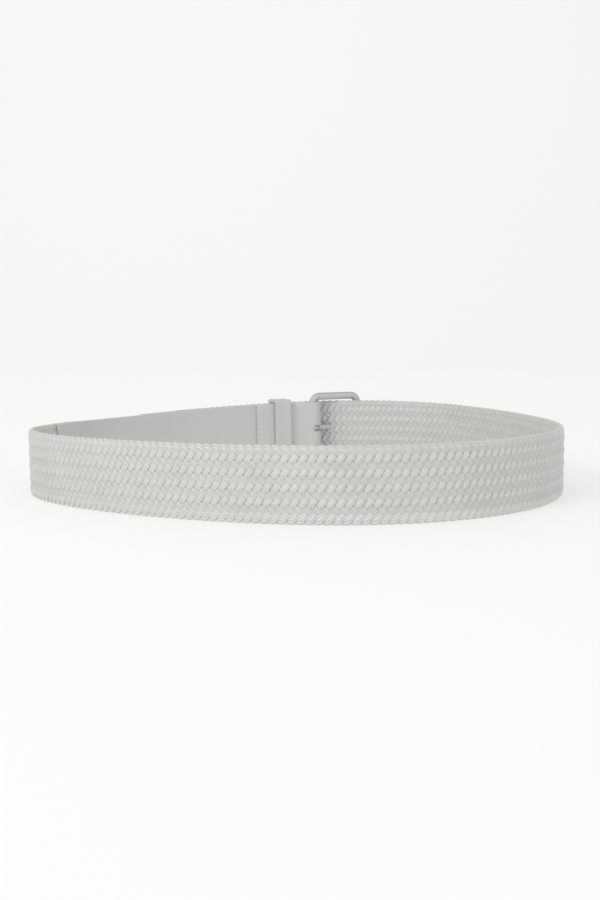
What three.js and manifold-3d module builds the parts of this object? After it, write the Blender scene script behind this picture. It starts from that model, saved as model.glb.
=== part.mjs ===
// A braided belt with leather ends, fastened round to its buckle and standing on its edge.
// Millimetres, +Z up, +X to the right and +Y away from the viewer. The origin is under the middle of the loop.
import * as THREE from "three";
import { mergeVertices } from "three/addons/utils/BufferGeometryUtils.js";
import Module from "manifold-3d";

// Strap sections
const STRAP_WIDTH = 35;
const BRAID_THICKNESS = 3.6;
const LEATHER_THICKNESS = 2.6;
const PLY_THICKNESS = LEATHER_THICKNESS / 2;
const EDGE_CHAMFER = 0.6;
const CLEARANCE = 0.3;

// Loop in plan: its radius of curvature at every thirty degrees of outward heading, from +X towards +Y
const LOOP_LENGTH = 800;
const BEND_RADII = [130, 155, 75, 60, 400, 60, 40, 75, 260, 125, 112, 112];

// Places along the loop, measured from its rightmost point towards the back
const FAR_BAR_AT = 176;
const KEEPER_AT = 229;
const JUNCTION_AT = 385;
const FREE_END_LENGTH = 130;
const TIP_LENGTH = 58;
const SLEEVE_LENGTH = 14;
const SLEEVE_FLARE = 10;
const LEAF_LENGTH = 38.5;

// Buckle
const FRAME_LENGTH = 36;
const FRAME_HEIGHT = 45.4;
const FRAME_THICKNESS = 4;
const FRAME_CORNER = 7;
const FRAME_BEVEL = 1;
const BAR_WIDTH = 4.2;
const BAR_CLEAR_RADIUS = 2.8;
const PRONG_THICKNESS = 1.8;
const PRONG_HEIGHT = 3.4;
const PRONG_SLOT_HEIGHT = 5;

// The buckle is taller than the strap, so the strap rises towards it until the frame stands on the table too
const BUCKLE_LIFT = (FRAME_HEIGHT - STRAP_WIDTH) / 2;
const LIFT_REACH = 200;

// Keeper
const KEEPER_WIDTH = 12;
const KEEPER_THICKNESS = 2;
const KEEPER_EASE = 1.2;
const KEEPER_CORNER = 2.5;

const BRAID_COLOUR = 0xcdcfc9;
const LEATHER_COLOUR = 0xb9b9b9;
const METAL_COLOUR = 0xbababa;

const manifold = await Module();
manifold.setup();

// Radius of curvature at a heading, by a Catmull-Rom curve through the logarithms of the table
function bendRadius(heading) {
  const count = BEND_RADII.length;
  const u = (heading / (2 * Math.PI)) * count;
  const i = Math.floor(u);
  const w = u - i;
  const [a, b, c, d] = [-1, 0, 1, 2].map((k) => Math.log(BEND_RADII[(i + k + count) % count]));
  return Math.exp(b + 0.5 * w * (c - a + w * (2 * a - 5 * b + 4 * c - d + w * (3 * (b - c) + d - a))));
}

// The loop's middle line as stations with an arc length, a heading and a plan point.
// Taking the first harmonic out of the radii makes the loop close.
function traceLoop(steps = 720) {
  const turn = (2 * Math.PI) / steps;
  const headings = Array.from({ length: steps + 1 }, (_, i) => i * turn);
  const raw = headings.map((heading) => bendRadius(heading));
  const harmonic = (wave) => {
    return raw.slice(1).reduce((sum, radius, i) => sum + radius * wave(headings[i + 1]), 0) * (2 / steps);
  };
  const alongX = harmonic(Math.cos);
  const alongY = harmonic(Math.sin);
  const radii = raw.map((radius, i) => {
    return radius - alongX * Math.cos(headings[i]) - alongY * Math.sin(headings[i]);
  });
  const length = radii.slice(1).reduce((sum, radius) => sum + radius * turn, 0);
  const scale = LOOP_LENGTH / length;
  const stations = [{ at: 0, heading: 0, x: 0, y: 0 }];
  for (let i = 1; i <= steps; i++) {
    const last = stations[i - 1];
    const step = ((radii[i - 1] + radii[i]) / 2) * turn * scale;
    const middle = headings[i] - turn / 2;
    stations.push({
      at: last.at + step,
      heading: headings[i],
      x: last.x - step * Math.sin(middle),
      y: last.y + step * Math.cos(middle),
    });
  }
  return stations;
}

const loop = traceLoop();

// The plan point at an arc length, moved outwards by an offset
function planPoint(at, offset = 0) {
  const wrapped = ((at % LOOP_LENGTH) + LOOP_LENGTH) % LOOP_LENGTH;
  let low = 0;
  let high = loop.length - 1;
  while (high - low > 1) {
    const middle = (low + high) >> 1;
    if (loop[middle].at <= wrapped) low = middle;
    else high = middle;
  }
  const [a, b] = [loop[low], loop[high]];
  const w = (wrapped - a.at) / (b.at - a.at);
  const heading = a.heading + w * (b.heading - a.heading);
  return new THREE.Vector2(
    a.x + w * (b.x - a.x) + offset * Math.cos(heading),
    a.y + w * (b.y - a.y) + offset * Math.sin(heading),
  );
}

const smooth = (t) => {
  const w = THREE.MathUtils.clamp(t, 0, 1);
  return w * w * (3 - 2 * w);
};

// Where the two bars of the buckle stand. The heel bar lies inside the leather that is folded round it.
const FOLD_RADIUS = BAR_CLEAR_RADIUS + LEATHER_THICKNESS / 2;
const FREE_END_OFFSET = LEATHER_THICKNESS / 2 + CLEARANCE + BRAID_THICKNESS / 2;
const TIP_OFFSET = FREE_END_OFFSET + PLY_THICKNESS + CLEARANCE;
const BRAID_AT_FAR_BAR = -3.5;
const FAR_BAR_OFFSET = BRAID_AT_FAR_BAR + 4.4;
const BAR_SPACING = FRAME_LENGTH - BAR_WIDTH;
const farBar = planPoint(FAR_BAR_AT, FAR_BAR_OFFSET);
const HEEL_BAR_AT = findHeelBar();
const heelBar = planPoint(HEEL_BAR_AT, -FOLD_RADIUS);
const BUCKLE_MIDDLE_AT = (FAR_BAR_AT + HEEL_BAR_AT) / 2;

// The arc length at which the heel bar is the bar spacing away from the far bar
function findHeelBar() {
  let at = FAR_BAR_AT + BAR_SPACING;
  for (let i = 0; i < 6; i++) at -= planPoint(at, -FOLD_RADIUS).distanceTo(farBar) - BAR_SPACING;
  return at;
}

// How far the strap's lower edge is above the table at an arc length
function lift(at) {
  const apart = ((((at - BUCKLE_MIDDLE_AT) % LOOP_LENGTH) + 1.5 * LOOP_LENGTH) % LOOP_LENGTH) - LOOP_LENGTH / 2;
  const share = THREE.MathUtils.clamp(Math.abs(apart) / LIFT_REACH, 0, 1);
  return BUCKLE_LIFT * Math.cos((share * Math.PI) / 2) ** 2;
}

// A closed strip that follows stations of { point, low, high, thickness }, with its edges chamfered
function strip(stations, chamfer = EDGE_CHAMFER) {
  const positions = [];
  const index = [];
  const corners = 8;
  stations.forEach(({ point, low, high, thickness }, i) => {
    const before = stations[Math.max(i - 1, 0)].point;
    const after = stations[Math.min(i + 1, stations.length - 1)].point;
    const along = after.clone().sub(before).normalize();
    const half = thickness / 2;
    const cut = Math.min(chamfer, (high - low) / 4);
    const section = [
      [half - chamfer, low],
      [half, low + cut],
      [half, high - cut],
      [half - chamfer, high],
      [chamfer - half, high],
      [-half, high - cut],
      [-half, low + cut],
      [chamfer - half, low],
    ];
    for (const [across, z] of section) {
      positions.push(point.x + along.y * across, point.y - along.x * across, z);
    }
  });
  for (let i = 0; i + 1 < stations.length; i++) {
    for (let j = 0; j < corners; j++) {
      const a = i * corners + j;
      const b = i * corners + ((j + 1) % corners);
      index.push(a, a + corners, b + corners, a, b + corners, b);
    }
  }
  const last = (stations.length - 1) * corners;
  for (let j = 1; j + 1 < corners; j++) {
    index.push(0, j, j + 1);
    index.push(last, last + j + 1, last + j);
  }
  const geometry = new THREE.BufferGeometry();
  geometry.setAttribute("position", new THREE.Float32BufferAttribute(positions, 3));
  geometry.setIndex(index);
  return geometry;
}

// Arc lengths from one place to another that are closer together where the loop bends tightly
function places(from, to, longest = 6, sharpest = 0.12) {
  const made = [from];
  while (made[made.length - 1] < to) {
    const at = made[made.length - 1];
    const wrapped = ((at % LOOP_LENGTH) + LOOP_LENGTH) % LOOP_LENGTH;
    const station = loop.find((one) => one.at >= wrapped);
    made.push(Math.min(to, at + Math.min(longest, bendRadius(station.heading) * sharpest)));
  }
  return made;
}

function toSolid(geometry) {
  const bare = new THREE.BufferGeometry();
  bare.setAttribute("position", geometry.getAttribute("position"));
  bare.setIndex(geometry.index);
  const merged = mergeVertices(bare, 1e-4);
  return new manifold.Manifold(
    new manifold.Mesh({
      numProp: 3,
      vertProperties: merged.attributes.position.array,
      triVerts: new Uint32Array(merged.index.array),
    }),
  );
}

function toGeometry(solid) {
  const mesh = solid.getMesh();
  const positions = new Float32Array(mesh.numVert * 3);
  for (let i = 0; i < mesh.numVert; i++) {
    positions.set(mesh.vertProperties.subarray(i * mesh.numProp, i * mesh.numProp + 3), i * 3);
  }
  const geometry = new THREE.BufferGeometry();
  geometry.setAttribute("position", new THREE.BufferAttribute(positions, 3));
  geometry.setIndex(new THREE.BufferAttribute(new Uint32Array(mesh.triVerts), 1));
  return geometry;
}

function makeMesh(name, geometry, color, roughness, metalness) {
  geometry.computeVertexNormals();
  const material = new THREE.MeshStandardMaterial({ color, roughness, metalness });
  const mesh = new THREE.Mesh(geometry, material);
  mesh.name = name;
  return mesh;
}

// A strip station on the strap, at its full width and at its own height above the table
function strapStation(at, offset, thickness) {
  return { point: planPoint(at, offset), low: lift(at), high: lift(at) + STRAP_WIDTH, thickness };
}

// Points in the buckle's own plane: along it from the heel bar towards the far bar, and outwards from it
const buckleAlong = farBar.clone().sub(heelBar).normalize();
const buckleOut = new THREE.Vector2(-buckleAlong.y, buckleAlong.x);
const bucklePoint = (along, out) => {
  return heelBar.clone().addScaledVector(buckleAlong, along).addScaledVector(buckleOut, out);
};
const BUCKLE_MIDDLE_Z = FRAME_HEIGHT / 2;

// The prong's hook goes round the back of the heel bar, and its rod lies on the far bar's outer face
function prongStations(extra = 0) {
  const ring = BAR_CLEAR_RADIUS + PRONG_THICKNESS / 2;
  const hook = Array.from({ length: 10 }, (_, i) => {
    const angle = THREE.MathUtils.degToRad(190 - 14 * i);
    return [ring * Math.cos(angle), ring * Math.sin(angle)];
  });
  const rest = FRAME_THICKNESS / 2 + CLEARANCE + PRONG_THICKNESS / 2;
  const rod = [
    [4, 1.6],
    [5.2, 1.35],
    [6.6, 1.4],
    [BAR_SPACING / 2, (rest + 1.2) / 2],
    [BAR_SPACING - 3, rest],
    [BAR_SPACING + 2.6, rest],
  ];
  const route = extra ? rod.slice(1) : [...hook, ...rod];
  return route.map(([along, out], i) => {
    const slim = i === route.length - 1 ? 0.5 : 0;
    const half = PRONG_HEIGHT / 2 + extra - slim;
    return {
      point: bucklePoint(along, out),
      low: BUCKLE_MIDDLE_Z - half,
      high: BUCKLE_MIDDLE_Z + half,
      thickness: PRONG_THICKNESS + 2 * extra - slim,
    };
  });
}

// How far out from the loop's middle line the braid runs: on it, then in under the far bar,
// out through the frame, on outside the leather, and a little further out at the tip's sleeve
function braidOffset(at) {
  const farBarAt = FAR_BAR_AT + LOOP_LENGTH;
  const heelBarAt = HEEL_BAR_AT + LOOP_LENGTH;
  const inwards = BRAID_AT_FAR_BAR * smooth((at - farBarAt + 64) / 60);
  const outwards = (FREE_END_OFFSET - BRAID_AT_FAR_BAR) * smooth((at - farBarAt - 3) / (heelBarAt - farBarAt - 4));
  const atTip = (TIP_OFFSET - FREE_END_OFFSET) * smooth((at - heelBarAt - 34) / 32);
  return inwards + outwards + atTip;
}

// The braid runs from the sleeve at the junction, round the front and through the buckle, to the leather tip
function makeBraidStrap() {
  const start = JUNCTION_AT - SLEEVE_LENGTH;
  const heelBarAt = HEEL_BAR_AT + LOOP_LENGTH;
  const farBarAt = FAR_BAR_AT + LOOP_LENGTH;
  const end = heelBarAt + FREE_END_LENGTH - TIP_LENGTH + SLEEVE_LENGTH;
  const stations = [
    ...places(start, farBarAt - 4),
    ...places(farBarAt, heelBarAt, 3),
    ...places(heelBarAt + 4, end),
  ].map((at) => strapStation(at, braidOffset(at), BRAID_THICKNESS));
  const prongHole = toSolid(strip(prongStations(0.4)));
  return toGeometry(toSolid(strip(stations)).subtract(prongHole));
}

// Two leather plies that part from a strap's end and hold the braid between them.
// They start inside the strap at one arc length and end at another, on either side of an offset.
function sleevePlies(from, to, offset, direction) {
  const open = (BRAID_THICKNESS + PLY_THICKNESS) / 2 + CLEARANCE;
  const closed = PLY_THICKNESS / 2;
  return [-1, 1].map((side) => {
    const stations = places(from, to, 2).map((at) => {
      const run = direction > 0 ? at - from : to - at;
      const apart = closed + (open - closed) * smooth(run / SLEEVE_FLARE);
      return strapStation(at, offset + side * apart, PLY_THICKNESS);
    });
    return toSolid(strip(stations, 0.4));
  });
}

// The leather runs from the junction to the heel bar, folds round it and comes back inside as a short leaf
function makeLeatherStrap() {
  const strapEnd = JUNCTION_AT - SLEEVE_LENGTH - SLEEVE_FLARE;
  const main = places(HEEL_BAR_AT, strapEnd + 3).map((at) => strapStation(at, 0, LEATHER_THICKNESS));
  const fold = Array.from({ length: 11 }, (_, i) => {
    const angle = (Math.PI * (i + 1)) / 12;
    const at = HEEL_BAR_AT - FOLD_RADIUS * Math.sin(angle);
    return strapStation(at, -FOLD_RADIUS + FOLD_RADIUS * Math.cos(angle), LEATHER_THICKNESS);
  });
  const closed = -LEATHER_THICKNESS - CLEARANCE;
  const leaf = places(HEEL_BAR_AT, HEEL_BAR_AT + LEAF_LENGTH, 2.5).map((at) => {
    const offset = -2 * FOLD_RADIUS + (closed + 2 * FOLD_RADIUS) * smooth((at - HEEL_BAR_AT) / 13);
    return strapStation(at, offset, LEATHER_THICKNESS);
  });
  const strap = toSolid(strip([...main.reverse(), ...fold, ...leaf]));
  const plies = sleevePlies(strapEnd, JUNCTION_AT, 0, 1);
  return toGeometry(manifold.Manifold.union([strap, ...plies]).subtract(prongSlot()));
}

// The slot in the fold that the prong comes out through. It is long on the outer side, where the hook is.
function prongSlot() {
  const low = BUCKLE_MIDDLE_Z - PRONG_SLOT_HEIGHT / 2;
  const high = BUCKLE_MIDDLE_Z + PRONG_SLOT_HEIGHT / 2;
  const cut = (from, to, out, thickness) => {
    const ends = [bucklePoint(from, out), bucklePoint(to, out)];
    return toSolid(strip(ends.map((point) => ({ point, low, high, thickness })), 0.5));
  };
  const bar = FOLD_RADIUS + LEATHER_THICKNESS;
  return cut(-6, bar, bar / 2 - 1, bar + 2).add(cut(2.7, bar, -bar / 2, bar + 1));
}

// The tip is plain leather with a rounded end, and holds the braid's other end in a sleeve
function makeLeatherTip() {
  const end = HEEL_BAR_AT + LOOP_LENGTH + FREE_END_LENGTH;
  const sleeve = end - TIP_LENGTH;
  const strapStart = sleeve + SLEEVE_LENGTH + 0.5;
  const rounding = STRAP_WIDTH / 2;
  const straight = places(strapStart + SLEEVE_FLARE - 3, end - rounding, 4);
  const round = Array.from({ length: 8 }, (_, i) => end - rounding * (1 - Math.sin(((i + 1) * Math.PI) / 18)));
  const stations = [...straight, ...round].map((at) => {
    const station = strapStation(at, TIP_OFFSET, LEATHER_THICKNESS);
    const past = Math.max(0, at - (end - rounding)) / rounding;
    const narrow = rounding * (1 - Math.sqrt(1 - past * past));
    return { ...station, low: station.low + narrow, high: station.high - narrow };
  });
  const plies = sleevePlies(sleeve, strapStart + SLEEVE_FLARE, TIP_OFFSET, -1);
  return toGeometry(manifold.Manifold.union([toSolid(strip(stations)), ...plies]));
}

function roundedRectangle(path, width, height, radius) {
  const [x, y] = [width / 2, height / 2];
  path.moveTo(-x + radius, -y);
  path.lineTo(x - radius, -y);
  path.absarc(x - radius, -y + radius, radius, -Math.PI / 2, 0);
  path.lineTo(x, y - radius);
  path.absarc(x - radius, y - radius, radius, 0, Math.PI / 2);
  path.lineTo(-x + radius, y);
  path.absarc(-x + radius, y - radius, radius, Math.PI / 2, Math.PI);
  path.lineTo(-x, -y + radius);
  path.absarc(-x + radius, -y + radius, radius, Math.PI, Math.PI * 1.5);
  return path;
}

// A flat ring with rounded corners, centred on the origin in X and Y and from -depth / 2 to depth / 2 in Z
function ringGeometry(width, height, border, depth, corner, bevel) {
  const shape = roundedRectangle(new THREE.Shape(), width - 2 * bevel, height - 2 * bevel, corner - bevel);
  const inner = Math.max(corner - border, 0.8);
  const hole = roundedRectangle(new THREE.Path(), width - 2 * (border - bevel), height - 2 * (border - bevel), inner + bevel);
  shape.holes.push(hole);
  const geometry = new THREE.ExtrudeGeometry(shape, {
    depth: depth - 2 * bevel,
    bevelThickness: bevel,
    bevelSize: bevel,
    bevelSegments: 2,
    curveSegments: 6,
  });
  geometry.translate(0, 0, -(depth - 2 * bevel) / 2);
  return mergeVertices(new THREE.BufferGeometry().copy(geometry).deleteAttribute("uv").deleteAttribute("normal"), 1e-4);
}

// The frame is an upright ring whose plane holds both bars
function makeBuckleFrame() {
  const geometry = ringGeometry(FRAME_LENGTH, FRAME_HEIGHT, BAR_WIDTH, FRAME_THICKNESS, FRAME_CORNER, FRAME_BEVEL);
  const along = new THREE.Vector3(-buckleAlong.x, -buckleAlong.y, 0);
  const up = new THREE.Vector3(0, 0, 1);
  const middle = heelBar.clone().add(farBar).multiplyScalar(0.5);
  const placed = new THREE.Matrix4().makeBasis(along, up, along.clone().cross(up));
  placed.setPosition(middle.x, middle.y, BUCKLE_MIDDLE_Z);
  return geometry.applyMatrix4(placed);
}

// The keeper is a leather band round the leaf, the strap and the free end
function makeKeeper() {
  const innerFace = -1.5 * LEATHER_THICKNESS - CLEARANCE - KEEPER_EASE / 2;
  const outerFace = FREE_END_OFFSET + BRAID_THICKNESS / 2 + KEEPER_EASE / 2;
  const height = STRAP_WIDTH + 2 * (KEEPER_THICKNESS + KEEPER_EASE);
  const depth = outerFace - innerFace + 2 * KEEPER_THICKNESS;
  const geometry = ringGeometry(depth, height, KEEPER_THICKNESS, KEEPER_WIDTH, KEEPER_CORNER, 0.4);
  const centre = planPoint(KEEPER_AT, (innerFace + outerFace) / 2);
  const outwards = planPoint(KEEPER_AT, 1).sub(planPoint(KEEPER_AT, 0));
  const across = new THREE.Vector3(outwards.x, outwards.y, 0);
  const up = new THREE.Vector3(0, 0, 1);
  const placed = new THREE.Matrix4().makeBasis(across, up, across.clone().cross(up));
  placed.setPosition(centre.x, centre.y, lift(KEEPER_AT) + STRAP_WIDTH / 2);
  return geometry.applyMatrix4(placed);
}

const group = new THREE.Group();
group.name = "braided_belt";
group.add(
  makeMesh("braid_strap", makeBraidStrap(), BRAID_COLOUR, 0.85, 0),
  makeMesh("leather_strap", makeLeatherStrap(), LEATHER_COLOUR, 0.55, 0),
  makeMesh("leather_tip", makeLeatherTip(), LEATHER_COLOUR, 0.55, 0),
  makeMesh("keeper", makeKeeper(), LEATHER_COLOUR, 0.55, 0),
  makeMesh("buckle_frame", makeBuckleFrame(), METAL_COLOUR, 0.35, 1),
  makeMesh("prong", toGeometry(toSolid(strip(prongStations(), 0.5))), METAL_COLOUR, 0.35, 1),
);

// The loop's plan is traced from its rightmost point, so the whole is moved to stand over the origin
const bounds = new THREE.Box3().setFromObject(group, true);
group.position.set(-(bounds.min.x + bounds.max.x) / 2, -(bounds.min.y + bounds.max.y) / 2, 0);

export default group;
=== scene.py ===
"""Looks of a braided belt with leather ends, fastened round to its pin buckle and standing on its edge.

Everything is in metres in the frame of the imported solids: +Z up, +X to the right, +Y away from the camera.
Places on the belt are arc lengths from the loop's rightmost point towards the back, as in the solids.
"""

import math

import bpy
import numpy as np
from bpy.props import FloatProperty, FloatVectorProperty, PointerProperty
from mathutils import Matrix, Vector


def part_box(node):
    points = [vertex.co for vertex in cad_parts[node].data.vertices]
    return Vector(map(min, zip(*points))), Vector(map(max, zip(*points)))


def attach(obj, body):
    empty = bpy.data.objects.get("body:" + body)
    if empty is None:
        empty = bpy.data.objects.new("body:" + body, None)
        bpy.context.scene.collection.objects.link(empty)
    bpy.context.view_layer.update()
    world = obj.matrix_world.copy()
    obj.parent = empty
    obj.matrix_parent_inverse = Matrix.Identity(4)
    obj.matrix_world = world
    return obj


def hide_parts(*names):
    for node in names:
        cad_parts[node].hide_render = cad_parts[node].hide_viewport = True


bl_info = {
    "name": "Braided belt",
    "version": (1, 0, 0),
    "blender": (4, 5, 0),
    "location": "View3D > Sidebar > Belt",
    "description": "Builds the cords, leather, buckle and stage of a braided belt round its solids",
    "category": "Object",
}

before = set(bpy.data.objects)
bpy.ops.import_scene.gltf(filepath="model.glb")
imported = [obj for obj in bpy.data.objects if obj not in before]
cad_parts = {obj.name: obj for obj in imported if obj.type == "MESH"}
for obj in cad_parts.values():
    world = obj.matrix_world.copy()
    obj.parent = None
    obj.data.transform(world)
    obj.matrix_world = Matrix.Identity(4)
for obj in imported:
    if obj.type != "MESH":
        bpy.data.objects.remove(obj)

MM = 0.001
BODY = "root"

# Loop in plan: its length and its radius of curvature at every thirty degrees of outward heading
LOOP_LENGTH = 800 * MM
BEND_RADII = np.array([130, 155, 75, 60, 400, 60, 40, 75, 260, 125, 112, 112], float)

# Strap sections and places
STRAP_WIDTH = 35 * MM
BRAID_THICKNESS = 3.6 * MM
PLY = 1.3 * MM
GAP = 0.3 * MM
FAR_BAR_AT = 176 * MM
KEEPER_AT = 229 * MM
JUNCTION_AT = 385 * MM
FREE_END = 130 * MM
TIP_LENGTH = 58 * MM
SLEEVE = 14 * MM
SLEEVE_FLARE = 10 * MM
SLEEVE_OPENING = BRAID_THICKNESS / 2 + GAP
PINCH = 0.55 * MM
PINCH_LENGTH = 3 * MM
LEAF = 38.5 * MM
LEAF_GAP = 0.05 * MM
LEAF_CLOSING = 13 * MM
SKIVE = 0.5
SKIVE_LENGTH = 6 * MM
LEATHER_EASE = 0.5 * MM
LEATHER_WIDTH = STRAP_WIDTH - LEATHER_EASE
PLY_STEP = 1.2 * MM
PLY_COLUMNS = np.linspace(0, 1, 11)
NOSE_DRAWN = 0.9995

# Stitch rows: their arc lengths on the leaf, and their distances from a sleeve's mouth and from the edges
LEAF_ROWS_AT = np.array([245.4, 242.4, 217]) * MM
SLEEVE_ROWS = (3 * MM, 7 * MM)
STITCH_MARGIN = 3 * MM

# A stitch's bow and the width of its ends, as shares of half and of all the thread's width
STITCH_BOW = 1.6
STITCH_ENDS = 0.35

# Buckle
FRAME_LENGTH = 36 * MM
FRAME_HEIGHT = 45.4 * MM
BAR_WIDTH = 4.2 * MM
BAR_DEPTH = 4 * MM
BAR_SHOWN = 4.7 * MM
FRAME_CORNER = 7 * MM
BAR_CLEAR_RADIUS = 2.8 * MM
PRONG_THICKNESS = 1.8 * MM
PRONG_HEIGHT = 3.4 * MM
PRONG_POWER = 2.8
SLOT_HEIGHT = 3.5 * MM
SLOT_ON_LEAF = 8.1 * MM
SLOT_ON_STRAP = 9 * MM
BUCKLE_LIFT = (FRAME_HEIGHT - STRAP_WIDTH) / 2
LIFT_REACH = 200 * MM
BAR_SPACING = FRAME_LENGTH - BAR_WIDTH
FOLD_RADIUS = BAR_CLEAR_RADIUS + PLY
FREE_END_OFFSET = PLY + GAP + BRAID_THICKNESS / 2
TIP_OFFSET = FREE_END_OFFSET + PLY + GAP
BRAID_AT_FAR_BAR = -3.5 * MM
BRAID_TO_BAR = 4.4 * MM
FAR_BAR_OFFSET = BRAID_AT_FAR_BAR + BRAID_TO_BAR

# The prong's hook in degrees round the heel bar, its line from there to a little past the far bar, and
# the shares of its length over which it grows slim and its end is rounded
HOOK_ANGLES = 330 - 14 * np.arange(20)
PRONG_LEAVES = np.array([[4, 1.6], [5.2, 1.35], [6.6, 1.4]]) * MM
PRONG_RISE = 1.2 * MM
PRONG_RESTS_BEFORE = 3 * MM
PRONG_PAST_BAR = 2.6 * MM
SLIM_BY, SLIM_FROM, SLIM_OVER = 0.28, 0.55, 0.4
ROUND_FROM, ROUND_OVER, ROUND_LEFT = 0.97, 0.0301, 0.03

# Where the braid leaves the loop's curve, from which bar, and over what length
DIP_BEFORE = 64 * MM
DIP_LENGTH = 60 * MM
CROSSING_AFTER = 3 * MM
CROSSING_SHORTER = 4 * MM
TIP_STEP_AFTER = 34 * MM
TIP_STEP_LENGTH = 32 * MM

# Keeper, whose leather is drawn thicker inwards than in the solid
KEEPER_WIDTH = 10.8 * MM
KEEPER_THICKNESS = 2.6 * MM
KEEPER_EASE = 0.1 * MM
KEEPER_CORNER = 2.5 * MM
KEEPER_HOLLOW = 0.28 * MM
KEEPER_SAG = 0.2 * MM

# Braid: flat and plain, of eleven plump strands that each hold a few parallel yarns
STRANDS = 11
BRAID_PIECES = 6
ROW_HEIGHT = 3.2 * MM
SAMPLES_PER_ROW = 4
YARNS = 3
YARN_PLACES = (0.2, 1 / 3, 0.46, 0.72, 0.92)
STRAND_POWER = 2.2
FALLING_WIDER = 0.08

# Turns at the braid's edges, in rows and shares
TURN_ROUNDING = 1.44
TURN_START = 0.2
TURN_REACH = 1.1
TURN_FLATNESS = 0.4
TURN_SPREAD_ABOVE = 0.35
TURN_LIFT_BELOW = 0.14 * MM
RIM_ROWS = 0.9
# Shares by which the painted shade is lessened at the upper and lower rims, so these are painted lighter
RIM_LIGHTER_ABOVE, RIM_LIGHTER_BELOW = 0.2, 0.5

# Unevenness of the strands: the lengths in which its waves turn a radian, and its size along and through
DRIFT_WAVES = (3.1 * MM, 7.3 * MM)
DRIFT_ALONG = 0.05 * MM
DRIFT_DEPTH = 0.03 * MM

# Camera: beside the loop's middle, and its turns downwards and round its own line of sight, in degrees
CAMERA_SIDE = 2.75 * MM
CAMERA_DOWN = 6.17
CAMERA_ROLL = -0.641


# The loop


def bend_radius(heading):
    """Radius at outward headings: a Catmull-Rom curve through the logarithms of BEND_RADII."""
    logs = np.log(BEND_RADII)
    place = heading / (2 * np.pi) * len(logs)
    first = np.floor(place).astype(int)
    w = place - first
    a, b, c, d = (logs[(first + k) % len(logs)] for k in (-1, 0, 1, 2))
    return np.exp(b + 0.5 * w * (c - a + w * (2 * a - 5 * b + 4 * c - d + w * (3 * (b - c) + d - a))))


def trace_loop(steps=720):
    """Arc length, heading, x and y of the loop: steps of radius times turn, each at right angles to its
    heading, after the first harmonic is taken out of the radii so that the loop closes."""
    turn = 2 * np.pi / steps
    heading = np.linspace(0, 2 * np.pi, steps + 1)
    radius = bend_radius(heading)
    for wave in (np.cos(heading), np.sin(heading)):
        radius = radius - wave * (radius[1:] @ wave[1:]) * 2 / steps
    step = (radius[:-1] + radius[1:]) / 2
    step = step * LOOP_LENGTH / step.sum()
    middle = heading[1:] - turn / 2
    steps_taken = (step, -step * np.sin(middle), step * np.cos(middle))
    at, x, y = (np.concatenate([[0], np.cumsum(taken)]) for taken in steps_taken)
    return at, heading, x, y


LOOP = trace_loop()


def outwards(at):
    """Unit vectors in plan that point out of the loop at arc lengths."""
    heading = np.interp(np.mod(at, LOOP_LENGTH), LOOP[0], LOOP[1])
    return np.stack([np.cos(heading), np.sin(heading)], -1)


def traced(at, offset=0.0):
    """Plan points at arc lengths, moved outwards by an offset, before the loop is moved over the origin."""
    wrapped = np.mod(at, LOOP_LENGTH)
    middle = np.stack([np.interp(wrapped, LOOP[0], LOOP[k]) for k in (2, 3)], -1)
    return middle + outwards(at) * np.asarray(offset)[..., None]


def smooth(t):
    """Zero to one with level ends: three t squared less two t cubed."""
    w = np.clip(t, 0, 1)
    return w * w * (3 - 2 * w)


def find_heel_bar():
    """The arc length at which the heel bar is the bar spacing away from the far bar, in six corrections."""
    at = FAR_BAR_AT + BAR_SPACING
    far = traced(FAR_BAR_AT, FAR_BAR_OFFSET)
    for _ in range(6):
        at -= np.linalg.norm(traced(at, -FOLD_RADIUS) - far) - BAR_SPACING
    return at


HEEL_BAR_AT = find_heel_bar()
BUCKLE_AT = (FAR_BAR_AT + HEEL_BAR_AT) / 2
BRAID_START = JUNCTION_AT - SLEEVE
BRAID_END = HEEL_BAR_AT + LOOP_LENGTH + FREE_END - TIP_LENGTH + SLEEVE


def lift(at):
    """Height of the strap's lower edge above the table: a squared cosine round the buckle."""
    apart = np.mod(at - BUCKLE_AT + LOOP_LENGTH / 2, LOOP_LENGTH) - LOOP_LENGTH / 2
    return BUCKLE_LIFT * np.cos(np.clip(np.abs(apart) / LIFT_REACH, 0, 1) * np.pi / 2) ** 2


def braid_offset(at):
    """Distance of the braid out from the loop: nothing, in under the far bar, out through the frame on to
    the leather's outer side, and a little further out at the tip, each with a smooth step."""
    far, heel = FAR_BAR_AT + LOOP_LENGTH, HEEL_BAR_AT + LOOP_LENGTH
    inwards = BRAID_AT_FAR_BAR * smooth((at - far + DIP_BEFORE) / DIP_LENGTH)
    crossed = smooth((at - far - CROSSING_AFTER) / (heel - far - CROSSING_SHORTER))
    through = (FREE_END_OFFSET - BRAID_AT_FAR_BAR) * crossed
    at_tip = (TIP_OFFSET - FREE_END_OFFSET) * smooth((at - heel - TIP_STEP_AFTER) / TIP_STEP_LENGTH)
    return inwards + through + at_tip


def loop_shift():
    """The plan shift that puts the traced loop where the solids stand, from the braid's box."""
    low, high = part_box("braid_strap")
    front = traced(np.linspace(BRAID_START, LOOP_LENGTH, 2000), BRAID_THICKNESS / 2)
    return np.array([high.x - front[:, 0].max(), low.y - front[:, 1].min()])


SHIFT = loop_shift()


def plan_point(at, offset=0.0):
    """Plan points at arc lengths and offsets, in the frame of the solids."""
    return traced(at, offset) + SHIFT


HEEL_BAR = plan_point(HEEL_BAR_AT, -FOLD_RADIUS)
FAR_BAR = plan_point(FAR_BAR_AT, FAR_BAR_OFFSET)
BUCKLE_ALONG = (FAR_BAR - HEEL_BAR) / np.linalg.norm(FAR_BAR - HEEL_BAR)
BUCKLE_OUT = np.array([-BUCKLE_ALONG[1], BUCKLE_ALONG[0]])


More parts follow.
